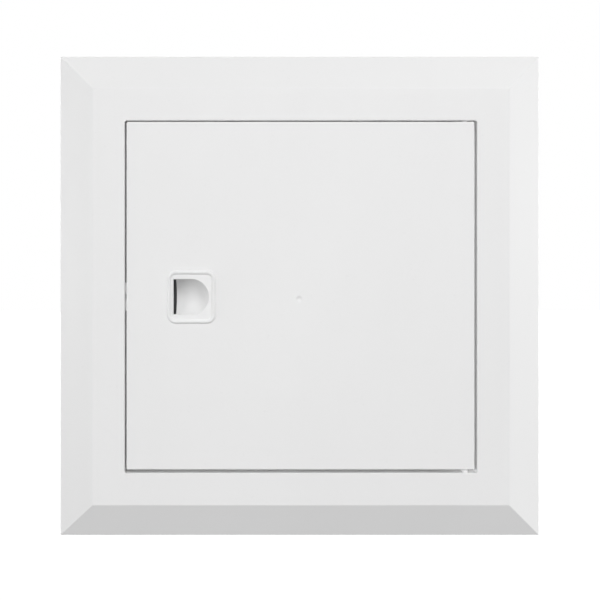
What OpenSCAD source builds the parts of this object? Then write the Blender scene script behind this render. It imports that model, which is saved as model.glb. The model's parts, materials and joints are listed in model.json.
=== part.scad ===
// Square access panel: a bevelled frame with a collar that goes into the wall, and a hinged
// door held shut by a sprung slide latch. +Z is up and the front faces -Y. The origin is the
// middle of the wall opening, in the plane of the wall.

/* [Frame] */
// Side of the frame over its outer edge
frame_w = 250; // [200:1:500]
// How far the front stands out from the wall
frame_h = 10; // [9:0.5:16]
// Width of the sloping border, seen from the front
slope_w = 18.6; // [12:0.2:40]
// Width of the flat border between the slope and the door
flat_w = 16.4; // [13:0.2:40]
// Height of the outer edge at the foot of the slope
lip_h = 1.2; // [0.8:0.1:2.5]
// Wall of the frame's front
frame_t = 2.2; // [1.6:0.1:3]
// Wall of the reveal round the door
reveal_t = 2; // [1.4:0.1:3]
// Radius where the slope meets the flat border
slope_r = 2; // [0.5:0.1:5]
// Thickness of the webs behind the front
web_t = 1.5; // [1:0.1:3]
// Webs along each side
web_count = 6; // [2:2:12]

/* [Collar] */
// Space between the reveal and the collar, where the hinge sockets are
socket_w = 4.3; // [3.6:0.1:8]
// Wall of the collar
collar_t = 2.2; // [1.6:0.1:4]
// Depth of the collar behind the wall's face
collar_d = 30; // [20:1:80]
// Distance between the two fixing holes in each side of the collar
fixing_span = 100; // [60:1:150]
// Depth of the fixing holes behind the wall's face
fixing_y = 15; // [8:0.5:16]
// Radius of the fixing holes
fixing_r = 2.25; // [1.5:0.05:3]

/* [Door] */
// Gap between the door and the frame, half of what both sides leave together
door_gap = 1.15; // [0.8:0.05:2]
// How far the shut door sits above the middle of its opening
door_lift = 0.6; // [0:0.05:0.7]
// How far the door sits towards its free side from the middle of the opening
door_shift = 0.2; // [0:0.05:0.3]
// Wall of the door's face
door_t = 2.2; // [1.8:0.1:3]
// Depth of the door over its edge wall
door_h = 6; // [5.6:0.1:7]
// Thickness of the edge wall
edge_t = 1.8; // [1.4:0.1:3]
// Radius of the front edges on both sides of the gap
edge_r = 0.5; // [0.2:0.05:0.8]
// Radius of the door's corners
corner_r = 1; // [0.5:0.1:3]
// Thickness of the ribs on the door's back
rib_t = 1.2; // [0.8:0.1:2]
// Height of the ribs on the door's back
rib_h = 3; // [2:0.1:3.4]
// Cells between ribs along each side
rib_cells = 6; // [3:1:12]
// Radius of the gate mark that the moulding leaves in the door's front
gate_r = 1.65; // [0.5:0.05:3]
// Depth of the gate mark
gate_d = 0.29; // [0.1:0.01:0.4]
// Place of the gate mark from the middle of the door, across
gate_x = -0.7; // [-40:0.1:40]
// Place of the gate mark from the middle of the door, upwards
gate_z = -1.8; // [-40:0.1:40]
// Width of the ledge that the door closes against
ledge_w = 3.5; // [2.5:0.1:6]
// Thickness of the ledge
ledge_t = 1.8; // [1.2:0.1:2.2]
// Gap between the shut door and the ledge
ledge_gap = 0.3; // [0.1:0.05:0.8]

/* [Hinge] */
// Radius of the hinge pins
pin_r = 1.6; // [1.2:0.05:1.7]
// Distance of the hinge axis from the door's edge
pin_inset = 4.2; // [4:0.1:6]
// Depth of the hinge axis behind the door's face
pin_depth = 2.8; // [2.7:0.05:3]
// Running clearance of a pin in the frame
pin_clear = 0.06; // [0.02:0.01:0.1]
// How far a pin reaches past the reveal's face
pin_reach = 4.4; // [3.4:0.1:5]
// Length of the door's knuckles
knuckle_l = 9; // [6:0.5:16]
// How far the ledge stops short of the door's sweep at the hinge
relief = 1.65; // [0.3:0.05:6]

/* [Latch] */
// Distance from the door's free edge to the finger window
latch_inset = 23.9; // [22:0.05:40]
// Height of the latch above the middle of the door
latch_z = -0.65; // [-20:0.05:20]
// Width of the finger window
window_w = 17.95; // [14:0.05:24]
// Radius of the window's round end, half its height
window_r = 8.95; // [7:0.05:10]
// Bevel round the window's front edge
window_bevel = 0.35; // [0.1:0.05:0.6]
// Depth of the finger trough behind the door's back, at its round end
trough_d = 3.8; // [3:0.1:4.5]
// Fall of the trough's floor towards the slot, in degrees
trough_fall = 12; // [0:1:14]
// Slot between the window's straight side and the trough
finger_slot = 1.05; // [0.4:0.05:1.5]
// Wall of the slide's trough
slide_t = 1.2; // [1:0.1:1.6]
// Travel of the slide
travel = 4; // [3:0.1:5]
// Clearance between the slide and what guides it
slide_clear = 0.2; // [0.1:0.05:0.4]
// Width of the bolt over both prongs
bolt_w = 14.2; // [10:0.1:16]
// Space between the bolt's prongs
fork_w = 2.8; // [2:0.1:6]
// Thickness of the bolt
bolt_t = 2.4; // [2:0.1:2.6]
// How far the bolt reaches past the reveal's face
bolt_reach = 2.5; // [2:0.1:2.9]
// Width of the bar that joins the bolt to the slide's rails
yoke_t = 3; // [2:0.1:5]
// Width of the ridge round the window
ridge_w = 2.2; // [1.4:0.1:3]
// Height of the ridge
ridge_h = 0.8; // [0.3:0.05:0.8]
// Middle of the ridge to middle of the ridge, across
ridge_x = 22.7; // [20:0.1:30]
// Middle of the ridge to middle of the ridge, upwards
ridge_z = 25.1; // [22:0.1:30]
// Radius of the ridge's corners
ridge_r = 3.5; // [2:0.1:5]

/* [Latch cover] */
// Wall of the cover
cover_t = 1.4; // [1:0.1:2]
// Radius of the cover's corners
cover_r = 2; // [1.5:0.1:4]
// Radius of the cover's back edges
cover_edge = 1.2; // [0.4:0.1:1.4]
// Radius of the screws' shanks
screw_r = 1.1; // [0.8:0.05:1.4]
// Length of the screws' shanks
screw_l = 5.2; // [4:0.1:5.4]
// Radius of the screws' heads
screw_head_r = 2.3; // [1.8:0.05:3]
// Height of the screw bosses on the door
boss_h = 4; // [3.8:0.1:5]
// Wall of the screw bosses
boss_t = 1.9; // [1.2:0.1:3]

/* [Spring] */
// Radius of the spring's wire
wire_r = 0.3; // [0.15:0.05:0.4]
// Radius of the coil to the middle of the wire
coil_r = 1.75; // [1.4:0.05:2.2]
// Turns of the spring
coil_turns = 7; // [4:1:10]
// Length of each of the two posts inside the spring
post_l = 4.5; // [3:0.1:6]

/* [Hidden] */
$fn = 64;
join = 0.4;
arc_steps = 6;
wall_white = "#f2f2f0";
latch_white = "#e9eaea";
cover_grey = "#3e3f41";
steel = "#b9bcc0";

// Frame, as half widths from the middle and depths from the wall's face
front = -frame_h;
flat_out = frame_w / 2 - slope_w;
reveal = flat_out - flat_w;
reveal_out = reveal + reveal_t;
collar_in = reveal_out + socket_w;
collar_out = collar_in + collar_t;
slope = atan2(frame_h - lip_h, slope_w);
hollow_y = front + frame_t;
hollow_lip = frame_w / 2 + (lip_h - frame_t / cos(slope)) / tan(slope);
hollow_flat = hollow_lip + hollow_y / tan(slope);
web_pitch = 2 * reveal / web_count;
web_back = -0.5;

// Door
door_half = reveal - door_gap;
door_back = front + door_t;
edge_back = front + door_h;
ledge_y = edge_back + ledge_gap;
reveal_back = ledge_y + ledge_t;
edge_in = door_half - edge_t;
rib_pitch = 2 * edge_in / rib_cells;
pin_x = door_half - pin_inset;
pin_y = front + pin_depth;
hinge_x = pin_x - door_shift;
socket_r = pin_r + 1.9;
knuckle_r = edge_back - pin_y;
door_sweep = norm([pin_inset, edge_back - pin_y]);
ledge_end = hinge_x - sqrt(pow(door_sweep, 2) - pow(ledge_y - pin_y, 2)) - relief;

// Slide and its trough, a cylinder that falls towards the slot and ends in part of a sphere
slide_front = door_back + slide_clear;
window_x = latch_inset - door_half;
scoop_x = window_x + window_w - window_r;
trough_x = window_x + finger_slot;
trough_edge = window_r + 0.05;
trough_r = (trough_edge * trough_edge + trough_d * trough_d) / (2 * trough_d);
trough_y = slide_front + trough_d - trough_r;
trough_drop = (scoop_x - trough_x) * tan(trough_fall);
slot_depth = (slide_front - trough_y - trough_drop) * cos(trough_fall);
shell_r = trough_r + slide_t;
rails_in = sqrt(trough_r * trough_r - slot_depth * slot_depth) + 0.1;
slide_half = sqrt(shell_r * shell_r - slot_depth * slot_depth) + 0.5;
slide_back = trough_y + trough_drop + shell_r / cos(trough_fall);
rail_t = 1.4;
end_t = 1.5;
slide_end = scoop_x + sqrt(shell_r * shell_r - pow(slide_front - trough_y, 2)) + end_t;
bolt_back = slide_front + bolt_t;
bolt_tip = -reveal - bolt_reach + door_shift;
bolt_ramp = 3;
bolt_z = latch_z + door_lift;
yoke_in = window_x - travel - 0.2;
yoke_x = yoke_in - yoke_t;
slide_r = 1;
fork_end = bolt_tip + 7;

// Cover, spring and screws
cover_in = yoke_x - slide_clear / 2;
spring_l = 2 * post_l + travel + 0.1;
cover_end = slide_end + spring_l;
cover_half = slide_half + slide_clear + 0.1;
cover_floor = slide_back + slide_clear + 0.1;
spring_y = (slide_front + slide_back) / 2;
post_r = coil_r - wire_r - 0.25;
boss_r = screw_r + boss_t;
boss_x = (cover_in + cover_end) / 2;
boss_z = cover_half + cover_t + boss_r + 0.2;
boss_back = door_back + boss_h;
ear_t = 1.6;
screw_fit = 0.02;
ear_fit = 0.2;
head_h = 1.5;

// Helping functions and shapes

function unit(v) = v / norm(v);

// Points of the arc that rounds corner b of the path a, b, c
function rounded(a, b, c, r) =
    let (u = unit(a - b), v = unit(c - b), half = acos(u * v) / 2,
         mid = b + unit(u + v) * r / sin(half),
         from = b + u * r / tan(half) - mid, to = b + v * r / tan(half) - mid,
         start = atan2(from[1], from[0]), turn = atan2(to[1], to[0]) - start,
         sweep = turn > 180 ? turn - 360 : turn < -180 ? turn + 360 : turn)
    [for (i = [0 : arc_steps]) mid + r * [cos(start + sweep * i / arc_steps),
                                          sin(start + sweep * i / arc_steps)]];

// Block that is square seen from the front; its edge lists [half width, depth] from front to back
module square_form(edge) {
    outline = concat(edge, [for (i = [len(edge) - 1 : -1 : 0]) [-edge[i][0], edge[i][1]]]);
    reach = 2 * max([for (p = edge) p[0]]) + 2;
    intersection() {
        linear_extrude(reach, center = true) polygon(outline);
        rotate([0, 90, 0]) linear_extrude(reach, center = true) polygon(outline);
    }
}

module square_block(half, y0, y1) {
    translate([-half, y0, -half]) cube([2 * half, y1 - y0, 2 * half]);
}

// Box from one corner to the other
module box(from, to) {
    translate(from) cube(to - from);
}

// Plate parallel to the wall with round corners
module round_plate(from, to, r) {
    box([from[0] + r, from[1], from[2]], [to[0] - r, to[1], to[2]]);
    box([from[0], from[1], from[2] + r], [to[0], to[1], to[2] - r]);
    for (x = [from[0] + r, to[0] - r], z = [from[2] + r, to[2] - r])
        rod_y([x, from[1], z], to[1] - from[1], r);
}

module rod_x(at, l, r) { translate(at) rotate([0, 90, 0]) cylinder(l, r, r); }
module rod_y(at, l, r) { translate(at) rotate([-90, 0, 0]) cylinder(l, r, r); }

// Repeats a shape made for the +X side on all four sides
module four_sides() {
    for (turn = [0 : 90 : 270]) rotate([0, turn, 0]) children();
}

// Frame

module frame_front() {
    inner = [0.5 * reveal, front];
    shoulder = [flat_out, front];
    lip = [frame_w / 2, -lip_h];
    foot = [frame_w / 2, 0];
    difference() {
        square_form(concat(rounded(inner, shoulder, lip, slope_r), rounded(shoulder, lip, foot, 0.6), [foot]));
        square_form([[hollow_flat, hollow_y], [hollow_lip, 0], [hollow_lip, 1]]);
    }
}

module door_opening() {
    corner = [reveal, front];
    intersection() {
        square_form(concat([[reveal + edge_r, front - 1]],
                           rounded([reveal + edge_r, front], corner, [reveal, 0], edge_r),
                           [[reveal, 1]]));
        round_plate([-reveal - edge_r, front - 1, -reveal - edge_r],
                    [reveal + edge_r, 1, reveal + edge_r], corner_r + door_gap + edge_r);
    }
}

module collar() {
    difference() {
        square_form([[collar_out, hollow_y - join], [collar_out, collar_d - 1.5],
                     [collar_out - 0.8, collar_d]]);
        square_block(collar_in, hollow_y - 1, collar_d + 1);
        four_sides() for (z = [-fixing_span / 2, fixing_span / 2])
            rod_x([collar_in - 1, fixing_y, z], collar_t + 2, fixing_r);
    }
}

// Web that ties the collar to the front and to the reveal; stretch is 1 across a side
module web(stretch) {
    lip_end = hollow_lip + web_back / tan(slope);
    linear_extrude(web_t, center = true) {
        polygon([for (p = [[collar_out - join, hollow_y - join], [hollow_flat, hollow_y - join],
                           [lip_end + join, web_back], [collar_out - join, web_back]])
                 [p[0] * stretch, p[1]]]);
        polygon([for (p = [[reveal_out - join, hollow_y - join], [collar_in + join, hollow_y - join],
                           [collar_in + join, reveal_back], [reveal_out - join, reveal_back]])
                 [p[0] * stretch, p[1]]]);
    }
}

// Webs of the +X side and of the corner above it
module side_webs() {
    for (i = [0 : web_count - 1]) translate([0, 0, (i - (web_count - 1) / 2) * web_pitch]) web(1);
    rotate([0, -45, 0]) web(sqrt(2));
}

// Ledge behind the door on its free side, top and bottom; the hinge side has none
module ledge() {
    difference() {
        square_block(reveal + join, ledge_y, reveal_back);
        square_block(reveal - ledge_w, ledge_y - 1, reveal_back + 1);
        box([ledge_end, ledge_y - 1, -reveal - 1], [reveal + 1, reveal_back + 1, reveal + 1]);
    }
}

// Back half of an upright cylinder, for a pin's housing that ends behind the front
module round_back(from, height, r) {
    translate(from) intersection() {
        cylinder(height, r, r);
        box([-r, -join, 0], [r, r, height]);
    }
}

// Round-backed sockets that the hinge pins turn in
module hinge_sockets() {
    for (side = [-1, 1]) {
        from = side > 0 ? reveal_out - join : -collar_in - join;
        to = side > 0 ? collar_in + join : -reveal_out + join;
        box([hinge_x - socket_r, hollow_y - join, from], [hinge_x + socket_r, pin_y, to]);
        round_back([hinge_x, pin_y, from], to - from, socket_r);
    }
}

module keeper_webs() {
    for (side = [-1, 1])
        translate([-collar_in - join, hollow_y - join, bolt_z + side * (bolt_w / 2 + 1.2) - web_t / 2])
            cube([socket_w + 2 * join, reveal_back - hollow_y + join, web_t]);
}

module frame() {
    color(wall_white) difference() {
        union() {
            difference() {
                union() {
                    frame_front();
                    square_block(reveal_out, hollow_y - join, reveal_back);
                }
                door_opening();
            }
            collar();
            four_sides() side_webs();
            ledge();
            hinge_sockets();
            keeper_webs();
        }
        for (side = [-1, 1])
            translate([hinge_x, pin_y, door_lift + side * (reveal + pin_reach / 2 - 0.2)])
                cylinder(pin_reach + 2, pin_r + pin_clear, pin_r + pin_clear, center = true);
        box([-reveal_out - 0.1, hollow_y, bolt_z - bolt_w / 2 - 0.35],
            [-reveal + 0.1, bolt_back + slide_clear, bolt_z + bolt_w / 2 + 0.35]);
    }
}

// Door

module door_shell() {
    corner = [door_half, front];
    difference() {
        intersection() {
            square_form(concat(rounded([0.5 * door_half, front], corner, [door_half, edge_back], edge_r),
                               [[door_half, edge_back]]));
            round_plate([-door_half, front - 1, -door_half], [door_half, edge_back + 1, door_half], corner_r);
        }
        square_block(edge_in, door_back, edge_back + 1);
    }
}

module door_ribs() {
    latch_zone = [cover_end + cover_t + 1.5, boss_z + boss_r + 1.5];
    difference() {
        for (i = [1 : rib_cells - 1]) {
            place = i * rib_pitch - edge_in - rib_t / 2;
            box([place, door_back - join, -edge_in - join],
                [place + rib_t, door_back + rib_h, edge_in + join]);
            box([-edge_in - join, door_back - join, place],
                [edge_in + join, door_back + rib_h, place + rib_t]);
        }
        box([-edge_in, door_back, latch_z - latch_zone[1]],
            [latch_zone[0], edge_back + 1, latch_z + latch_zone[1]]);
    }
}

// Round-backed knuckles that grip the hinge pins, filled up to the edge wall
module knuckles() {
    for (side = [-1, 1]) {
        from = side > 0 ? door_half - knuckle_l : -door_half + join;
        to = side > 0 ? door_half - join : -door_half + knuckle_l;
        box([pin_x - knuckle_r, door_back - join, from], [edge_in + join, pin_y, to]);
        box([pin_x, pin_y - join, from], [edge_in + join, edge_back, to]);
        round_back([pin_x, pin_y, from], to - from, knuckle_r);
    }
}

// Rails that guide the bolt between the latch cover and the door's edge
module bolt_rails() {
    for (side = [-1, 1])
        translate([-edge_in - join, door_back - join,
                   latch_z + side * (bolt_w / 2 + slide_clear + rail_t / 2) - rail_t / 2])
            cube([edge_in + join + cover_in - cover_t - 0.3, bolt_t + join, rail_t]);
}

// Rounded bead round the finger window
module ridge() {
    bead_r = (pow(ridge_w / 2, 2) + ridge_h * ridge_h) / (2 * ridge_h);
    half = [ridge_x / 2 - ridge_r, ridge_z / 2 - ridge_r];
    translate([scoop_x + 0.25, front + bead_r - ridge_h, latch_z]) {
        for (side = [-1, 1]) {
            translate([side * ridge_x / 2, 0, 0]) cylinder(2 * half[1], bead_r, bead_r, center = true);
            rod_x([-half[0], 0, side * ridge_z / 2], 2 * half[0], bead_r);
        }
        for (quarter = [[1, 1, 0], [-1, 1, 270], [-1, -1, 180], [1, -1, 90]])
            translate([quarter[0] * half[0], 0, quarter[1] * half[1]])
                rotate([0, quarter[2], 0]) rotate([90, 0, 0]) rotate_extrude(angle = 90)
                    translate([ridge_r, 0]) circle(bead_r);
    }
}

// Finger window with a bevel round its front edge
module finger_window() {
    over = 0.1;
    b = window_bevel + over;
    mouth = front - over;
    rod_y([scoop_x, mouth, latch_z], door_back + 1 - mouth, window_r);
    box([window_x, mouth, latch_z - window_r], [scoop_x, door_back + 1, latch_z + window_r]);
    translate([scoop_x, mouth, latch_z]) rotate([-90, 0, 0]) cylinder(b, window_r + b, window_r);
    intersection() {
        translate([window_x - b, 0, latch_z]) rotate([90, 0, 90]) linear_extrude(scoop_x - window_x + b)
            polygon([[mouth, -window_r - b], [mouth, window_r + b],
                     [mouth + b, window_r], [mouth + b, -window_r]]);
        translate([0, 0, latch_z]) linear_extrude(2 * (window_r + b), center = true)
            polygon([[scoop_x, mouth], [window_x - b, mouth], [window_x, mouth + b], [scoop_x, mouth + b]]);
    }
}

module screw_places() {
    for (side = [-1, 1]) translate([boss_x, 0, latch_z + side * boss_z]) children();
}

module door() {
    gate_ball = (gate_r * gate_r + gate_d * gate_d) / (2 * gate_d);
    color(wall_white) difference() {
        union() {
            door_shell();
            door_ribs();
            knuckles();
            bolt_rails();
            ridge();
            screw_places() rod_y([0, door_back - join, 0], boss_h + join, boss_r);
        }
        finger_window();
        for (side = [-1, 1])
            translate([pin_x, pin_y, side * (door_half - knuckle_l / 2)])
                cylinder(knuckle_l + 2, pin_r, pin_r, center = true);
        box([-door_half - 1, door_back, latch_z - bolt_w / 2 - slide_clear],
            [-edge_in + 1, bolt_back + slide_clear, latch_z + bolt_w / 2 + slide_clear]);
        screw_places() rod_y([0, boss_back - screw_l + ear_t - 0.2, 0], screw_l, screw_r + screw_fit);
        translate([gate_x, front - gate_ball + gate_d, gate_z]) sphere(gate_ball);
    }
}

// Hinge pin with a flat-sided head inside the knuckle, made for the top corner
module hinge_pin() {
    head_r = pin_r + 0.9;
    inner = door_half - knuckle_l;
    color(latch_white) translate([pin_x, pin_y, 0]) {
        translate([0, 0, inner - 0.1]) cylinder(reveal + pin_reach - inner - 0.3, pin_r, pin_r);
        translate([0, 0, reveal + pin_reach - 0.4]) cylinder(0.4, pin_r, pin_r - 0.4);
        difference() {
            translate([0, 0, inner - head_h]) cylinder(head_h, head_r, head_r);
            box([-head_r - 1, -head_r - 1, inner - head_h - 1],
                [head_r + 1, door_back + 0.1 - pin_y, inner + 1]);
        }
    }
}

// Latch

// Forked bolt with a ramp on its prongs
module bolt() {
    translate([0, 0, latch_z]) difference() {
        linear_extrude(bolt_w, center = true)
            polygon([[bolt_tip, slide_front], [bolt_tip, slide_front + 0.8], [bolt_tip + bolt_ramp, bolt_back],
                     [yoke_x + yoke_t / 2, bolt_back], [yoke_x + yoke_t / 2, slide_front]]);
        box([bolt_tip - 1, slide_front - 1, -fork_w / 2],
            [fork_end - fork_w / 2, bolt_back + 1, fork_w / 2]);
        rod_y([fork_end - fork_w / 2, slide_front - 1, 0], bolt_t + 2, fork_w / 2);
    }
}

// Plate with a rail along each side, open between the trough and the bar that carries the bolt
module slide_tray() {
    difference() {
        round_plate([yoke_x, slide_front, latch_z - slide_half], [slide_end, bolt_back, latch_z + slide_half],
                    slide_r);
        box([yoke_in, slide_front + slide_t, latch_z - rails_in],
            [slide_end + 1, bolt_back + 1, latch_z + rails_in]);
        box([yoke_in, slide_front - 1, latch_z - rails_in], [trough_x, bolt_back, latch_z + rails_in]);
    }
}

// Solid of the trough at radius r, from the slot to its round end
module scoop_form(r, from) {
    run = (scoop_x - trough_x) / cos(trough_fall) + r * tan(trough_fall) + 1;
    intersection() {
        translate([scoop_x, trough_y, latch_z]) {
            rotate([0, -90, -trough_fall]) cylinder(run, r, r);
            sphere(r);
        }
        box([from, slide_front - trough_r, latch_z - r], [slide_end, slide_back + 1, latch_z + r]);
    }
}

module latch_slide() {
    color(latch_white) difference() {
        union() {
            intersection() {
                scoop_form(shell_r, trough_x);
                box([trough_x, slide_front, latch_z - shell_r], [slide_end, slide_back, latch_z + shell_r]);
            }
            slide_tray();
            bolt();
            box([slide_end - end_t, slide_front, latch_z - coil_r - 2],
                [slide_end, spring_y + coil_r + 0.6, latch_z + coil_r + 2]);
            box([scoop_x, slide_front, latch_z - 0.8], [slide_end - join, spring_y + coil_r, latch_z + 0.8]);
            rod_x([slide_end - join, spring_y, latch_z], post_l + join, post_r);
        }
        scoop_form(trough_r, trough_x - 0.01);
    }
}

// Compression spring: a round wire swept along a helix, with its end turns closed up
module latch_spring() {
    sides = 10;
    rings_per_turn = 20;
    rings = coil_turns * rings_per_turn;
    length = spring_l - 2 * wire_r - 0.1;
    closed = 0.75;
    pitch_rise = (length - 2 * closed * 2.1 * wire_r) / (coil_turns - 2 * closed);
    function rise(turn) =
        turn < closed ? turn * 2.1 * wire_r :
        turn > coil_turns - closed ? length - (coil_turns - turn) * 2.1 * wire_r :
        closed * 2.1 * wire_r + (turn - closed) * pitch_rise;
    points = [for (i = [0 : rings]) let (turn = i / rings_per_turn, a = 360 * turn)
              for (k = [0 : sides - 1]) let (b = 360 * k / sides, r = coil_r + wire_r * cos(b))
              [rise(turn) + wire_r * sin(b), r * cos(a), r * sin(a)]];
    faces = concat([[for (k = [0 : sides - 1]) k]],
                   [for (i = [0 : rings - 1], k = [0 : sides - 1])
                    let (p = i * sides, q = (k + 1) % sides)
                    [p + k, p + sides + k, p + sides + q, p + q]],
                   [[for (k = [sides - 1 : -1 : 0]) rings * sides + k]]);
    color(steel) translate([slide_end + wire_r + 0.05, spring_y, latch_z])
        polyhedron(points, faces, convexity = 10);
}

// Outline from one corner to the other whose far corners are rounded
function capped(from, to, r) =
    concat([from], rounded(from, [from[0], to[1]], to, r), rounded([from[0], to[1]], to, [to[0], from[1]], r),
           [[to[0], from[1]]]);

// Cover's body with rounded corners and back edges
module cover_form(from, to) {
    intersection() {
        round_plate(from, to, cover_r);
        translate([0, 0, from[2]]) linear_extrude(to[2] - from[2])
            polygon(capped([from[0], from[1]], [to[0], to[1]], cover_edge));
        translate([from[0], 0, 0]) rotate([90, 0, 90]) linear_extrude(to[0] - from[0])
            polygon([for (p = capped([from[2], from[1]], [to[2], to[1]], cover_edge)) [p[1], p[0]]]);
    }
}

module latch_cover() {
    outer_x = [cover_in - cover_t, cover_end + cover_t];
    outer_z = cover_half + cover_t;
    color(cover_grey) difference() {
        union() {
            difference() {
                cover_form([outer_x[0], door_back, latch_z - outer_z],
                           [outer_x[1], cover_floor + cover_t, latch_z + outer_z]);
                round_plate([cover_in, door_back - 1, latch_z - cover_half],
                            [cover_end, cover_floor, latch_z + cover_half], cover_r - cover_t + 0.2);
            }
            rod_x([cover_end - post_l, spring_y, latch_z], post_l + join, post_r);
            screw_places() rod_y([0, boss_back, 0], ear_t, boss_r);
            for (side = [-1, 1])
                translate([boss_x, boss_back + ear_t / 2, latch_z + side * (outer_z + boss_z - join) / 2])
                    cube([2 * boss_r, ear_t, boss_z - outer_z + join], center = true);
        }
        screw_places() rod_y([0, boss_back - 1, 0], ear_t + 2, screw_r + ear_fit);
        box([outer_x[0] - 1, door_back - 1, latch_z - bolt_w / 2 - slide_clear],
            [cover_in + 1, bolt_back + slide_clear, latch_z + bolt_w / 2 + slide_clear]);
    }
}

module latch_screws() {
    seat = boss_back + ear_t;
    color(steel) screw_places() translate([0, seat, 0]) rotate([-90, 0, 0]) rotate_extrude()
        polygon(concat([[0, -screw_l], [screw_r * 0.3, -screw_l], [screw_r, -screw_l + 1.2],
                        [screw_r, 0], [screw_head_r, 0], [screw_head_r, head_h * 0.5]],
                       [for (i = [1 : arc_steps]) let (a = 90 * i / arc_steps)
                        [screw_head_r * (0.55 + 0.45 * cos(a)), head_h * (0.5 + 0.5 * sin(a))]],
                       [[0, head_h]]));
}

// Sets the door and what it carries in the opening
module in_place() { translate([-door_shift, 0, door_lift]) children(); }

frame();
in_place() door();
in_place() hinge_pin();  // hinge_pin_top
in_place() mirror([0, 0, 1]) hinge_pin();  // hinge_pin_bottom
in_place() latch_slide();
in_place() latch_spring();
in_place() latch_cover();
in_place() latch_screws();
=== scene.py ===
"""Square wall access panel: finishes of its mouldings, its latch spring and cover screws, and a stage."""

import json
from math import cos, pi, radians, sin

import bmesh
import bpy
from bpy.props import FloatProperty, FloatVectorProperty, IntProperty, PointerProperty
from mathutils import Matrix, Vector


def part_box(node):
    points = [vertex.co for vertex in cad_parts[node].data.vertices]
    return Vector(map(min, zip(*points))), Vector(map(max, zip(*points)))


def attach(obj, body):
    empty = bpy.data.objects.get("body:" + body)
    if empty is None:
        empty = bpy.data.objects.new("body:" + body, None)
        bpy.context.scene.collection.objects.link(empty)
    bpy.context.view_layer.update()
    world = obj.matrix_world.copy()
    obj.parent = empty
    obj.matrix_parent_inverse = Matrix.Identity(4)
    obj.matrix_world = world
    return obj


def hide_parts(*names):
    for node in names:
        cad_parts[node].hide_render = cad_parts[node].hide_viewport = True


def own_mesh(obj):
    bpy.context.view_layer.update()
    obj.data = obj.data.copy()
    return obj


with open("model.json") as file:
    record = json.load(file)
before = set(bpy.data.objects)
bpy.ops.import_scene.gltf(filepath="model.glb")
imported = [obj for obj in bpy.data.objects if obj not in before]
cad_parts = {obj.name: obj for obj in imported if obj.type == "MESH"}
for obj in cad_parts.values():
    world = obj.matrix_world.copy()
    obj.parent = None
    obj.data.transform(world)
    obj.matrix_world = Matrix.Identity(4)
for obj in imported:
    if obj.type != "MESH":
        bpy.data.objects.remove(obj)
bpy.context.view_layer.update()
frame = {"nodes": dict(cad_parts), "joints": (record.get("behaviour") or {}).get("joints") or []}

bl_info = {
    "name": "Access panel",
    "version": (1, 0, 0),
    "blender": (4, 5, 0),
    "location": "3D View > Sidebar > Access panel",
    "description": "Finishes a moulded access panel and sets it on a white stage",
    "category": "Object",
}

IMAGE_PIXELS = 600
SENSOR_WIDTH = 36.0

# A face looks along an axis when that part of its normal is past this
ALONG = 0.9


# Settings

class PlasticSettings(bpy.types.PropertyGroup):
    """The moulded plastic of the frame, the door and the latch."""

    wall_colour: FloatVectorProperty(
        name="Frame and door", description="Colour of the frame and the door",
        subtype="COLOR", size=3, min=0, max=1, default=(0.86, 0.86, 0.86))
    latch_colour: FloatVectorProperty(
        name="Latch", description="Colour of the slide and the hinge pins",
        subtype="COLOR", size=3, min=0, max=1, default=(0.845, 0.845, 0.845))
    # Painted shade: the cover is near black so that the slot in the finger scoop shows the dark of the
    # shadowed hollow behind the latch
    cover_painted_shade_colour: FloatVectorProperty(
        name="Cover", description="Colour of the latch cover",
        subtype="COLOR", size=3, min=0, max=1, default=(0.05, 0.05, 0.052))
    shade_range: FloatProperty(
        name="Shade", description="How much lighter or darker the white plastic gets in places",
        min=0, max=0.15, default=0.01)
    cover_shade_range: FloatProperty(
        name="Cover's shade", description="How much lighter or darker the cover's plastic gets in places",
        min=0, max=0.15, default=0.08)
    roughness: FloatProperty(
        name="Roughness", description="Roughness of the satin front",
        min=0, max=1, default=0.5)
    grain_size: FloatProperty(
        name="Grain size", description="Size of the fine texture that the mould leaves",
        unit="LENGTH", min=0.0001, max=0.005, default=0.0006)
    grain_height: FloatProperty(
        name="Grain height", description="Height of the fine texture",
        unit="LENGTH", min=0, max=0.0002, default=0.000006, precision=6)
    flow_size: FloatProperty(
        name="Flow size", description="Width of the soft waves that the flow of the plastic leaves",
        unit="LENGTH", min=0.005, max=0.2, default=0.05)
    flow_height: FloatProperty(
        name="Flow height", description="Height of the soft waves",
        unit="LENGTH", min=0, max=0.0005, default=0.00004, precision=5)


class DoorSettings(bpy.types.PropertyGroup):
    """The marks that the mould leaves on the door."""

    face_wall: FloatProperty(
        name="Face", description="Thickness of the door's face",
        unit="LENGTH", min=0.001, max=0.004, default=0.0022)
    edge_wall: FloatProperty(
        name="Edge", description="Thickness of the wall round the door's back",
        unit="LENGTH", min=0.001, max=0.004, default=0.0018)
    rib_cells: IntProperty(
        name="Cells", description="Cells between the ribs along each side of the door's back",
        min=1, max=12, default=6)
    mark_radius: FloatProperty(
        name="Pin marks", description="Radius of the marks that the ejector pins leave",
        unit="LENGTH", min=0.001, max=0.006, default=0.0024)
    mark_depth: FloatProperty(
        name="Pin mark depth", description="Depth of the marks that the ejector pins leave",
        unit="LENGTH", min=0, max=0.0005, default=0.00008, precision=5)
    gate_place: FloatVectorProperty(
        name="Gate mark", description="Place of the gate mark from the middle of the door",
        subtype="TRANSLATION", size=3, default=(-0.0007, 0, -0.0019))
    gate_reach: FloatVectorProperty(
        name="Gate mark reach", description="How far the dimple at the mould's gate reaches, across and up",
        unit="LENGTH", size=2, min=0.001, max=0.004, default=(0.0021, 0.003))
    gate_depth: FloatProperty(
        name="Gate mark depth", description="Depth of the dimple at the mould's gate",
        unit="LENGTH", min=0, max=0.0006, default=0.0002, precision=5)


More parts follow.
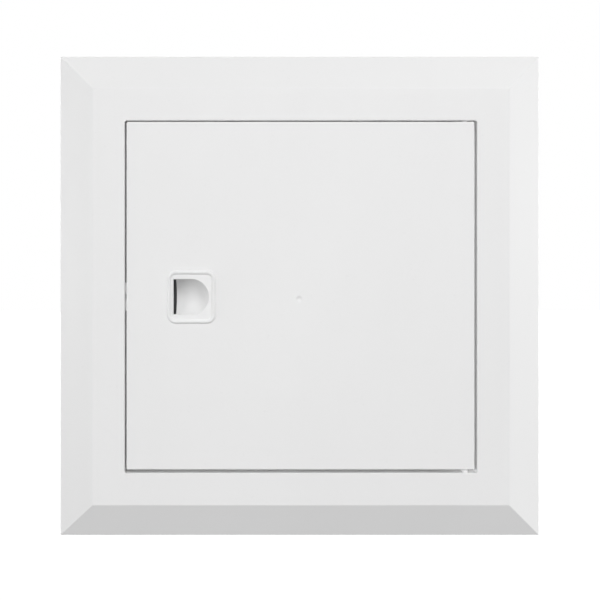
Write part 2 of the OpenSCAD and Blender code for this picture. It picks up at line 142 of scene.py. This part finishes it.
class SpringSettings(bpy.types.PropertyGroup):
    """The compression spring between the slide and the latch cover."""

    wire_radius: FloatProperty(
        name="Wire radius", description="Radius of the spring's wire",
        unit="LENGTH", min=0.0001, max=0.001, default=0.0003, precision=5)
    turns: IntProperty(
        name="Turns", description="Turns of the spring, end turns included", min=4, max=12, default=7)
    end_turns: FloatProperty(
        name="Closed turns", description="Part of a turn that lies closed at each end",
        min=0.25, max=1.5, default=0.75)
    steps: IntProperty(
        name="Steps", description="Straight lengths in one turn of the wire", min=12, max=64, default=32)
    sides: IntProperty(
        name="Sides", description="Sides of the wire's section", min=6, max=24, default=14)
    colour: FloatVectorProperty(
        name="Colour", description="Colour of the drawn wire",
        subtype="COLOR", size=3, min=0, max=1, default=(0.56, 0.56, 0.57))
    roughness: FloatProperty(
        name="Roughness", description="Roughness of the drawn wire between its patches",
        min=0, max=1, default=0.22)


class ScrewSettings(bpy.types.PropertyGroup):
    """The two screws that hold the latch cover to the door."""

    shank_radius: FloatProperty(
        name="Shank radius", description="Radius of the shank",
        unit="LENGTH", min=0.0005, max=0.003, default=0.0011, precision=5)
    head_height: FloatProperty(
        name="Head height", description="Height of the pan head",
        unit="LENGTH", min=0.0005, max=0.004, default=0.0015, precision=5)
    recess_width: FloatProperty(
        name="Recess width", description="Width of the cross recess over its arms",
        unit="LENGTH", min=0.001, max=0.005, default=0.0026, precision=5)
    recess_slot: FloatProperty(
        name="Recess slot", description="Width of one arm of the cross recess",
        unit="LENGTH", min=0.0002, max=0.002, default=0.0006, precision=5)
    colour: FloatVectorProperty(
        name="Colour", description="Colour of the zinc plating",
        subtype="COLOR", size=3, min=0, max=1, default=(0.6, 0.61, 0.62))
    roughness: FloatProperty(
        name="Roughness", description="Roughness of the zinc plating between its patches",
        min=0, max=1, default=0.3)


class StageSettings(bpy.types.PropertyGroup):
    """The camera, the lamps and the floor. A lamp's level is its light on a surface that faces it."""

    camera_distance: FloatProperty(
        name="Camera distance", description="Distance of the camera from the wall's face",
        unit="LENGTH", min=0.1, max=2, default=0.375)
    camera_left: FloatProperty(
        name="Camera to the left", description="How far the camera is left of the panel's middle",
        unit="LENGTH", min=-0.1, max=0.1, default=0.026)
    camera_up: FloatProperty(
        name="Camera above", description="How far the camera is above the panel's middle",
        unit="LENGTH", min=-0.1, max=0.1, default=0.022)
    panel_pixels: FloatProperty(
        name="Panel in the picture", description="Pixels that the frame's side takes in the picture",
        min=100, max=600, default=476.7)
    middle_x: FloatProperty(
        name="Middle across", description="Pixel across at which the panel's middle lies",
        min=0, max=600, default=299.53)
    middle_y: FloatProperty(
        name="Middle down", description="Pixel from the top at which the panel's middle lies",
        min=0, max=600, default=295.75)
    lamp_distance: FloatProperty(
        name="Lamp distance", description="Distance of the lamps from the panel's middle",
        unit="LENGTH", min=1, max=10, default=5)
    key_level: FloatProperty(
        name="Key light", description="Level of the lamp in front, above on the right",
        min=0, max=2, default=0.475)
    front_level: FloatProperty(
        name="Front light", description="Level of the lamp straight in front",
        min=0, max=2, default=0.2)
    high_level: FloatProperty(
        name="High light", description="Level of the lamp in front, just above",
        min=0, max=2, default=0.145)
    left_level: FloatProperty(
        name="Left light", description="Level of the lamp in front on the left",
        min=0, max=2, default=0.14)
    edge_level: FloatProperty(
        name="Edge light", description="Level of the lamp well to the left",
        min=0, max=2, default=0.21)
    right_level: FloatProperty(
        name="Right light", description="Level of the lamp on the right",
        min=0, max=2, default=0.38)
    back_level: FloatProperty(
        name="Back light", description="Level of each of the two back lamps",
        min=0, max=2, default=0.45)
    room_level: FloatProperty(
        name="Room light", description="Even light from all round, 1 being white",
        min=0, max=1, default=0.1)
    floor_z: FloatProperty(
        name="Floor", description="Height of the floor from the panel's middle",
        unit="LENGTH", min=-1, max=-0.13, default=-0.25)
    floor_size: FloatProperty(
        name="Floor's side", description="Side of the square floor",
        unit="LENGTH", min=1, max=20, default=6)
    floor_shade: FloatProperty(
        name="Floor's shade", description="Grey of the floor where the lamps light it",
        min=0, max=1, default=0.22)
    floor_glow: FloatProperty(
        name="Floor's glow", description="Light that the camera sees the floor give off, 1 being white",
        min=0, max=1, default=0.93)


# Shader nodes

class Signal:
    """What a shader node puts out, with the arithmetic of Math nodes."""

    def __init__(self, finish, socket):
        self.finish = finish
        self.socket = socket

    def math(self, operation, *values):
        return self.finish.node("ShaderNodeMath", {"operation": operation}, dict(enumerate(values)))

    def __add__(self, other):
        return self.math("ADD", self, other)

    def __sub__(self, other):
        return self.math("SUBTRACT", self, other)

    def __rsub__(self, other):
        return self.math("SUBTRACT", other, self)

    def __mul__(self, other):
        return self.math("MULTIPLY", self, other)

    def __truediv__(self, other):
        return self.math("DIVIDE", self, other)

    def __rtruediv__(self, other):
        return self.math("DIVIDE", other, self)

    def __gt__(self, other):
        return self.math("GREATER_THAN", self, other)

    def __lt__(self, other):
        return self.math("LESS_THAN", self, other)

    def __abs__(self):
        return self.math("ABSOLUTE", self)

    __radd__ = __add__
    __rmul__ = __mul__


class Finish:
    """A node tree that is being built, of a material or of the world."""

    def __init__(self, tree):
        self.tree = tree
        tree.nodes.clear()

    def node(self, kind, settings=None, inputs=None, output=0):
        """Adds a node, makes its settings, then sets or links its sockets, and returns one output."""
        made = self.tree.nodes.new(kind)
        for name, value in (settings or {}).items():
            setattr(made, name, value)
        for socket, value in (inputs or {}).items():
            if isinstance(value, Signal):
                self.tree.links.new(value.socket, made.inputs[socket])
            else:
                made.inputs[socket].default_value = value
        return Signal(self, made.outputs[output]) if made.outputs else None

    def place(self):
        """The point on the surface, in the panel's own axes."""
        return self.node("ShaderNodeTexCoord", output="Object")

    def facing(self):
        """The direction that the surface faces, in the panel's own axes."""
        return self.node("ShaderNodeTexCoord", output="Normal")

    def axes(self, vector):
        """The three numbers of a vector."""
        return [self.node("ShaderNodeSeparateXYZ", inputs={0: vector}, output=i) for i in range(3)]

    def length(self, right, above):
        """The distance of a point that is so far to the right and above."""
        return right.math("SQRT", right * right + above * above)

    def stretched(self, vector, scale):
        """A vector scaled along each axis, where a scale over 1 makes a pattern narrower."""
        return self.node("ShaderNodeMapping", inputs={"Vector": vector, "Scale": scale})

    def noise(self, vector, size, detail, roughness=0.5):
        """Noise from 0 to 1 whose lumps are about size metres across."""
        return self.node("ShaderNodeTexNoise", inputs={
            "Vector": vector, "Scale": 1 / size, "Detail": detail, "Roughness": roughness})

    def step(self, value, low, high, to_low=0.0, to_high=1.0):
        """A soft step from to_low to to_high while value goes from low to high."""
        return self.node("ShaderNodeMapRange", {"interpolation_type": "SMOOTHSTEP"}, {
            "Value": value, "From Min": low, "From Max": high, "To Min": to_low, "To Max": to_high})

    def blend(self, factor, first, second):
        """A colour between two others."""
        return self.node("ShaderNodeMix", {"data_type": "RGBA"}, {0: factor, 6: first, 7: second}, output=2)

    def bump(self, height):
        """The normal of a surface that is raised by height metres."""
        return self.node("ShaderNodeBump", inputs={"Height": height, "Distance": 1.0, "Strength": 1.0})

    def surface(self, shader):
        """Ends the material's tree."""
        self.node("ShaderNodeOutputMaterial", inputs={"Surface": shader})


def new_finish(name):
    """A new material and the tree of its nodes."""
    material = bpy.data.materials.new(name)
    material.use_nodes = True
    return material, Finish(material.node_tree)


def shade(colour, amount):
    """A colour made lighter or darker, with its alpha."""
    return [min(1.0, part * amount) for part in colour] + [1.0]


def paint(node, material):
    """Puts a material on all of a CAD node."""
    slots = frame["nodes"][node].data.materials
    slots.clear()
    slots.append(material)


# Finishes, with their sizes in metres

# A pin mark is a raised ring round a sunken disc, each a share of the marks' depth
RING_HALF_WIDTH = 0.00022
RING_SHARE = 0.6
DISC_EDGE = 0.0002
DISC_SHARE = 0.4
FACE_REACH = 0.0003

# Plastic has clouds, flow lines and specks in its shade, and smears and grain in its gloss
CLOUD_SIZE = 0.12
FLOW_SHARE = 0.55
FLOW_STRETCH = (1.0, 1.0, 0.35)
SPECK_SIZE = 0.0016
SPECK_SHARE = 0.35
SPECK_DEPTH = 6
SMEAR_SIZE = 0.02
SMEAR_STRETCH = (6.0, 1.0, 1.0)
SMEAR_GLOSS = 0.07
GRAIN_GLOSS = 0.06
GLOSS_SHIFT = 0.05
PLASTIC_IOR = 1.49

# Steel has drawing lines along X and patches
LINE_SIZE = 0.0004
LINE_STRETCH = (1.0, 6.0, 6.0)
LINE_HEIGHT = 0.000012
LINE_GLOSS = 0.12
PATCH_SIZE = 0.0018
PATCH_GLOSS = 0.14
PATCH_DARK = 0.82
PATCH_LIGHT = 1.08


def pin_marks(finish, start, pitch, radius):
    """Rings that the mould's ejector pins leave in every second square of a grid on a back face."""
    x, y, z = finish.axes(finish.place())
    _, facing_y, _ = finish.axes(finish.facing())
    across = (x - start.x) / pitch
    up = (z - start.z) / pitch
    right, above = [part.math("FRACT", part) - 0.5 for part in (across, up)]
    distance = finish.length(right, above) * pitch
    ring = 1 - finish.step(abs(distance - radius), 0.0, RING_HALF_WIDTH)
    disc = 1 - finish.step(distance, radius - DISC_EDGE, radius)
    cells = across.math("FLOOR", across) + up.math("FLOOR", up)
    every_second = cells.math("FLOORED_MODULO", cells, 2.0) < 0.5
    on_face = (abs(y - start.y) < FACE_REACH) * (facing_y > ALONG)
    return (ring * RING_SHARE - disc * DISC_SHARE) * every_second * on_face


def gate_mark(finish, middle, reach):
    """The dimple that the mould's gate leaves in a front face, 1 in its middle and 0 outside."""
    x, _, z = finish.axes(finish.place())
    _, facing_y, _ = finish.axes(finish.facing())
    distance = finish.length((x - middle.x) / reach[0], (z - middle.z) / reach[1])
    return finish.step(distance, 0.0, 1.0, to_low=1.0, to_high=0.0) * (facing_y < -ALONG)


def moulded_plastic(name, look, colour, shade_range, marks=None):
    """Satin plastic with a fine mould texture, faint flow in its shade and softly uneven gloss."""
    material, finish = new_finish(name)
    place = finish.place()
    flow = finish.noise(
        finish.stretched(place, FLOW_STRETCH), look.flow_size, detail=3.0, roughness=0.55)
    cloud = finish.noise(place, CLOUD_SIZE, detail=1.5)
    speck = finish.step(finish.noise(place, SPECK_SIZE, detail=1.0), 0.7, 0.78)
    grain = finish.noise(place, look.grain_size, detail=3.0, roughness=0.6)
    smear = finish.noise(
        finish.stretched(place, SMEAR_STRETCH), SMEAR_SIZE, detail=2.0, roughness=0.6)
    tone = finish.step(flow * FLOW_SHARE + cloud * (1 - FLOW_SHARE), 0.3, 0.7)
    base = finish.blend(tone, shade(colour, 1 - shade_range), shade(colour, 1 + shade_range))
    base = finish.blend(speck * SPECK_SHARE, base, shade(colour, 1 - SPECK_DEPTH * shade_range))
    gloss = finish.step(smear, 0.3, 0.7) * SMEAR_GLOSS + (grain - 0.5) * GRAIN_GLOSS
    height = grain * look.grain_height + flow * look.flow_height
    if marks is not None:
        height = height + marks(finish)
    finish.surface(finish.node("ShaderNodeBsdfPrincipled", inputs={
        "Base Color": base, "Roughness": look.roughness - GLOSS_SHIFT + gloss,
        "IOR": PLASTIC_IOR, "Normal": finish.bump(height)}))
    return material


def drawn_steel(name, colour, roughness):
    """Bare or plated steel with fine drawing lines and a slightly uneven gloss."""
    material, finish = new_finish(name)
    place = finish.place()
    lines = finish.noise(
        finish.stretched(place, LINE_STRETCH), LINE_SIZE, detail=2.0, roughness=0.6)
    patches = finish.noise(place, PATCH_SIZE, detail=3.0, roughness=0.6)
    base = finish.blend(
        finish.step(patches, 0.35, 0.7), shade(colour, PATCH_DARK), shade(colour, PATCH_LIGHT))
    gloss = finish.step(patches, 0.3, 0.7) * PATCH_GLOSS + (lines - 0.5) * LINE_GLOSS
    finish.surface(finish.node("ShaderNodeBsdfPrincipled", inputs={
        "Base Color": base, "Metallic": 1.0, "Roughness": roughness + gloss,
        "Normal": finish.bump(lines * LINE_HEIGHT)}))
    return material


# Modelling

def deselect():
    """Leaves edit mode and selects nothing."""
    if bpy.context.mode != "OBJECT":
        bpy.ops.object.mode_set(mode="OBJECT")
    bpy.ops.object.select_all(action="DESELECT")


def start_piece(name, add, **where):
    """Adds a primitive with nothing else selected, names it and enters edit mode."""
    deselect()
    add(**where)
    piece = bpy.context.active_object
    piece.name = name
    piece.data.name = name
    bpy.ops.object.transform_apply(location=True, rotation=True, scale=True)
    bpy.ops.object.mode_set(mode="EDIT")
    return piece


def pick(piece, kind, test):
    """Selects the faces or edges whose middle, and normal or direction, pass the test."""
    mesh = bmesh.from_edit_mesh(piece.data)
    bpy.ops.mesh.select_mode(type="FACE" if kind == "faces" else "EDGE")
    bpy.ops.mesh.select_all(action="DESELECT")
    found = False
    for part in getattr(mesh, kind):
        middle = sum((v.co for v in part.verts), Vector()) / len(part.verts)
        normal = part.normal if kind == "faces" else (part.verts[1].co - part.verts[0].co).normalized()
        if test(middle, normal):
            part.select_set(True)
            found = True
    mesh.select_flush_mode()
    bmesh.update_edit_mesh(piece.data)
    if not found:
        raise RuntimeError(f"{piece.name}: nothing was found to select")


def end_piece(piece, angle):
    """Closes edit mode with all faces outwards and shades the piece smooth up to an angle."""
    bpy.ops.mesh.select_all(action="SELECT")
    bpy.ops.mesh.remove_doubles(threshold=1e-6)
    bpy.ops.mesh.normals_make_consistent(inside=False)
    bpy.ops.object.mode_set(mode="OBJECT")
    bpy.ops.object.shade_smooth_by_angle(angle=angle)


def combine(piece, other, operation):
    """Joins another object to the piece or cuts it out of the piece, and removes the other."""
    deselect()
    piece.select_set(True)
    bpy.context.view_layer.objects.active = piece
    modifier = piece.modifiers.new("Combine", "BOOLEAN")
    modifier.operation = operation
    modifier.solver = "EXACT"
    modifier.object = other
    bpy.ops.object.modifier_apply(modifier=modifier.name)
    bpy.data.objects.remove(other)


# Operators

class PANEL_OT_frame(bpy.types.Operator):
    """Finishes the bevelled frame and its collar"""

    bl_idname = "access_panel.frame"
    bl_label = "Finish the frame"

    def execute(self, context):
        look = context.scene.access_plastic
        paint("frame", moulded_plastic("Frame plastic", look, look.wall_colour, look.shade_range))
        return {"FINISHED"}


class PANEL_OT_door(bpy.types.Operator):
    """Finishes the door and its two hinge pins"""

    bl_idname = "access_panel.door"
    bl_label = "Finish the door"

    def execute(self, context):
        look = context.scene.access_plastic
        door = context.scene.access_door
        low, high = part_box("door")
        start = low + Vector((door.edge_wall, door.face_wall, door.edge_wall))
        pitch = (high.x - door.edge_wall - start.x) / door.rib_cells
        gate = (low + high) / 2 + Vector(door.gate_place)

        def marks(finish):
            pins = pin_marks(finish, start, pitch, door.mark_radius)
            return pins * door.mark_depth - gate_mark(finish, gate, door.gate_reach) * door.gate_depth

        paint("door", moulded_plastic(
            "Door plastic", look, look.wall_colour, look.shade_range, marks))
        pin_finish = moulded_plastic("Hinge pin plastic", look, look.latch_colour, look.shade_range)
        for node in ("hinge_pin_top", "hinge_pin_bottom"):
            paint(node, pin_finish)
        return {"FINISHED"}


class PANEL_OT_latch(bpy.types.Operator):
    """Finishes the latch's slide and its cover"""

    bl_idname = "access_panel.latch"
    bl_label = "Finish the latch"

    def execute(self, context):
        look = context.scene.access_plastic
        paint("latch_slide", moulded_plastic(
            "Slide plastic", look, look.latch_colour, look.shade_range))
        # The cover's near-black colour is painted shade, seen through the slot as the dark hollow behind
        # the latch
        paint("latch_cover", moulded_plastic(
            "Cover plastic", look, look.cover_painted_shade_colour, look.cover_shade_range))
        return {"FINISHED"}


class PANEL_OT_spring(bpy.types.Operator):
    """Winds the latch spring from a disc of wire that is pushed out and turned step by step"""

    bl_idname = "access_panel.spring"
    bl_label = "Wind the spring"

    closed_pitch = 2.1  # Rise of a closed turn, in wire radii
    smooth_angle = radians(50)

    def execute(self, context):
        look = context.scene.access_spring
        low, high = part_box("latch_spring")
        middle = (low + high) / 2
        piece = self.wind(look, low, high, middle)
        piece.data.materials.append(drawn_steel("Spring steel", look.colour, look.roughness))
        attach(piece, "door_body")
        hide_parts("latch_spring")
        joint = next(j for j in frame["joints"] if j["name"] == "latch_travel")
        fixed_x = joint["deforming_nodes"][0]["fixed_end_x_m"]
        keep = 1 - joint["range_m"][1] / (fixed_x - low.x)
        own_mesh(piece)
        return {"FINISHED"}

    def wind(self, look, low, high, middle):
        """The wire between two corners, with its end turns closed."""
        coil_radius = (high.z - low.z) / 2 - look.wire_radius
        length = high.x - low.x - 2 * look.wire_radius
        closed_rise = self.closed_pitch * look.wire_radius
        open_turns = look.turns - 2 * look.end_turns
        open_rise = (length - 2 * look.end_turns * closed_rise) / open_turns
        start = Vector((low.x + look.wire_radius, middle.y + coil_radius, middle.z))
        piece = start_piece(
            "latch_spring_wire", bpy.ops.mesh.primitive_circle_add, vertices=look.sides,
            radius=look.wire_radius, fill_type="NGON", location=start)
        bpy.ops.mesh.select_all(action="SELECT")
        for step in range(look.turns * look.steps):
            turn = (step + 0.5) / look.steps
            closed = turn < look.end_turns or turn > look.turns - look.end_turns
            rise = (closed_rise if closed else open_rise) / look.steps
            bpy.ops.mesh.extrude_region_move(TRANSFORM_OT_translate={"value": (rise, 0, 0)})
            bpy.ops.transform.rotate(
                value=-2 * pi / look.steps, orient_axis="X", center_override=middle)
        end_piece(piece, self.smooth_angle)
        return piece


class PANEL_OT_screws(bpy.types.Operator):
    """Makes the two pan head screws of the latch cover, each with a cross recess"""

    bl_idname = "access_panel.screws"
    bl_label = "Make the screws"

    sides = 48
    head_round = 0.62  # Rounded part of the head's height
    tip_length = 0.0013
    tip_scale = 0.3
    recess_share = 0.75  # Part of the head's height that the recess goes down
    recess_turn = radians(20)
    recess_taper = 0.35
    smooth_angle = radians(40)

    def execute(self, context):
        look = context.scene.access_screws
        low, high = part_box("latch_screws")
        radius = (high.x - low.x) / 2
        steel = drawn_steel("Zinc plating", look.colour, look.roughness)
        places = {"upper": high.z - radius, "lower": low.z + radius}
        for name, z in places.items():
            top = Vector(((low.x + high.x) / 2, high.y, z))
            piece = self.screw(f"cover_screw_{name}", look, top, low.y, radius)
            piece.data.materials.append(steel)
            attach(piece, "door_body")
            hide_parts("latch_screws")
        return {"FINISHED"}

    def screw(self, name, look, top, tip_y, radius):
        """A screw whose head ends at top and whose shank goes forward to tip_y."""
        seat = top.y - look.head_height
        piece = start_piece(
            name, bpy.ops.mesh.primitive_cylinder_add, vertices=self.sides, radius=radius,
            depth=look.head_height, location=top - Vector((0, look.head_height / 2, 0)),
            rotation=(radians(90), 0, 0))
        pick(piece, "edges", lambda m, n: m.y > top.y - 1e-5 and abs(n.y) < 0.1)
        bpy.ops.mesh.bevel(offset=look.head_height * self.head_round, segments=8, affect="EDGES")
        pick(piece, "faces", lambda m, n: n.y < -ALONG)
        bpy.ops.mesh.inset(thickness=radius - look.shank_radius)
        self.push(seat - tip_y - self.tip_length, 1.0)
        self.push(self.tip_length, self.tip_scale)
        end_piece(piece, self.smooth_angle)
        combine(piece, self.recess(look, top), "DIFFERENCE")
        return piece

    def push(self, depth, scale):
        """Pushes the end of the shank towards its tip and narrows it."""
        bpy.ops.mesh.extrude_region_move(TRANSFORM_OT_translate={"value": (0, -depth, 0)})
        bpy.ops.transform.resize(value=(scale, scale, scale))

    def recess(self, look, top):
        """The tapered cross that is cut out of the head."""
        depth = look.head_height * self.recess_share
        first, second = [self.recess_arm(look, top, depth, angle) for angle in (0, radians(90))]
        combine(first, second, "UNION")
        return first

    def recess_arm(self, look, top, depth, angle):
        """One bar of the cross, which narrows towards its bottom."""
        arm = start_piece(
            "recess", bpy.ops.mesh.primitive_cube_add, size=1, location=top,
            scale=(look.recess_width, 2 * depth, look.recess_slot),
            rotation=(0, angle + self.recess_turn, 0))
        pick(arm, "faces", lambda m, n: n.y < -ALONG)
        bpy.ops.transform.resize(value=(self.recess_taper, 1, self.recess_taper))
        bpy.ops.object.mode_set(mode="OBJECT")
        return arm


class PANEL_OT_stage(bpy.types.Operator):
    """Sets up the floor, the lamps, the white surroundings and the camera"""

    bl_idname = "access_panel.stage"
    bl_label = "Set the stage"

    # Name, degrees off the front, degrees round from the right, side in metres, and setting of the level
    lamps = (
        ("key", 50, 45, 2.0, "key_level"),
        ("front", 3, 90, 1.0, "front_level"),
        ("high", 25, 90, 2.0, "high_level"),
        ("left", 50, 180, 1.2, "left_level"),
        ("edge", 75, 180, 1.2, "edge_level"),
        ("right", 100, 0, 1.2, "right_level"),
        ("back_right", 140, 20, 2.0, "back_level"),
        ("back_left", 140, 160, 2.0, "back_level"),
    )

    def execute(self, context):
        scene = context.scene
        look = scene.access_stage
        deselect()
        self.floor(look)
        self.surroundings(scene, look)
        for name, off, turn, size, level in self.lamps:
            self.lamp(name, look, radians(off), radians(turn), size, getattr(look, level))
        self.camera(scene, look)
        scene.view_settings.view_transform = "Standard"
        return {"FINISHED"}

    def floor(self, look):
        """A pale floor that takes the shadow and looks white."""
        bpy.ops.mesh.primitive_plane_add(size=look.floor_size, location=(0, 0, look.floor_z))
        floor = bpy.context.active_object
        floor.name = "floor"
        material, finish = new_finish("Floor")
        pale = finish.node("ShaderNodeBsdfDiffuse", inputs={"Color": [look.floor_shade] * 3 + [1.0]})
        glow = finish.node("ShaderNodeEmission", inputs={
            "Color": (1, 1, 1, 1), "Strength": look.floor_glow})
        dark = finish.node("ShaderNodeEmission", inputs={"Strength": 0.0})
        lit = finish.node("ShaderNodeMixShader", inputs={0: self.seen(finish), 1: dark, 2: glow})
        finish.surface(finish.node("ShaderNodeAddShader", inputs={0: pale, 1: lit}))
        floor.data.materials.append(material)

    def surroundings(self, scene, look):
        """Even light from all round, which looks white."""
        world = bpy.data.worlds.new("Surroundings")
        world.use_nodes = True
        scene.world = world
        finish = Finish(world.node_tree)
        level = look.room_level + self.seen(finish) * (1 - look.room_level)
        sky = finish.node("ShaderNodeBackground", inputs={"Color": (1, 1, 1, 1), "Strength": level})
        finish.node("ShaderNodeOutputWorld", inputs={"Surface": sky})

    def seen(self, finish):
        """1 on rays from the camera, a reflection or a clear body, and 0 on the rest."""
        camera, glossy, through = [
            finish.node("ShaderNodeLightPath", output=f"Is {kind} Ray")
            for kind in ("Camera", "Glossy", "Transmission")]
        return camera.math("MAXIMUM", camera, glossy.math("MAXIMUM", glossy, through))

    def lamp(self, name, look, off, turn, size, level):
        """A square lamp above the floor, with the power that lays the level on a surface facing it."""
        place = Vector((sin(off) * cos(turn), -cos(off), sin(off) * sin(turn))) * look.lamp_distance
        place.z = max(place.z, look.floor_z + size / 2)
        turned = place.to_track_quat("Z", "Y").to_euler()
        bpy.ops.object.light_add(type="AREA", location=place, rotation=turned)
        lamp = bpy.context.active_object
        lamp.name = name
        lamp.data.shape = "SQUARE"
        lamp.data.size = size
        lamp.data.energy = level * pi ** 2 * place.length_squared

    def camera(self, scene, look):
        """A camera that looks straight back, with a shift that brings the panel's middle to its pixel."""
        low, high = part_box("frame")
        metres_per_pixel = (high.x - low.x) / look.panel_pixels
        place = (-look.camera_left, -look.camera_distance, look.camera_up)
        bpy.ops.object.camera_add(location=place, rotation=(radians(90), 0, 0))
        camera = bpy.context.active_object
        camera.name = "camera"
        camera.data.sensor_width = SENSOR_WIDTH
        camera.data.lens = SENSOR_WIDTH * look.camera_distance / metres_per_pixel / IMAGE_PIXELS
        half = IMAGE_PIXELS / 2
        camera.data.shift_x = (half - look.middle_x + look.camera_left / metres_per_pixel) / IMAGE_PIXELS
        camera.data.shift_y = (look.middle_y - half - look.camera_up / metres_per_pixel) / IMAGE_PIXELS
        scene.camera = camera


class PANEL_PT_side(bpy.types.Panel):
    """Lists the steps and their settings."""

    bl_idname = "PANEL_PT_side"
    bl_label = "Access panel"
    bl_space_type = "VIEW_3D"
    bl_region_type = "UI"
    bl_category = "Access panel"

    def draw(self, context):
        layout = self.layout
        for step in STEPS:
            layout.operator(step.bl_idname)
        for name in SETTINGS:
            group = getattr(context.scene, name)
            box = layout.box()
            for setting in group.__annotations__:
                box.prop(group, setting)


SETTINGS = {
    "access_plastic": PlasticSettings,
    "access_door": DoorSettings,
    "access_spring": SpringSettings,
    "access_screws": ScrewSettings,
    "access_stage": StageSettings,
}
STEPS = (
    PANEL_OT_frame, PANEL_OT_door, PANEL_OT_latch, PANEL_OT_spring, PANEL_OT_screws, PANEL_OT_stage)
CLASSES = (*SETTINGS.values(), *STEPS, PANEL_PT_side)


def register():
    for kind in CLASSES:
        bpy.utils.register_class(kind)
    for name, kind in SETTINGS.items():
        setattr(bpy.types.Scene, name, PointerProperty(type=kind))


def unregister():
    for name in SETTINGS:
        delattr(bpy.types.Scene, name)
    for kind in reversed(CLASSES):
        bpy.utils.unregister_class(kind)


def main():
    """Runs every step."""
    register()
    bpy.ops.access_panel.frame()
    bpy.ops.access_panel.door()
    bpy.ops.access_panel.latch()
    bpy.ops.access_panel.spring()
    bpy.ops.access_panel.screws()
    bpy.ops.access_panel.stage()


if __name__ == "__main__":
    main()
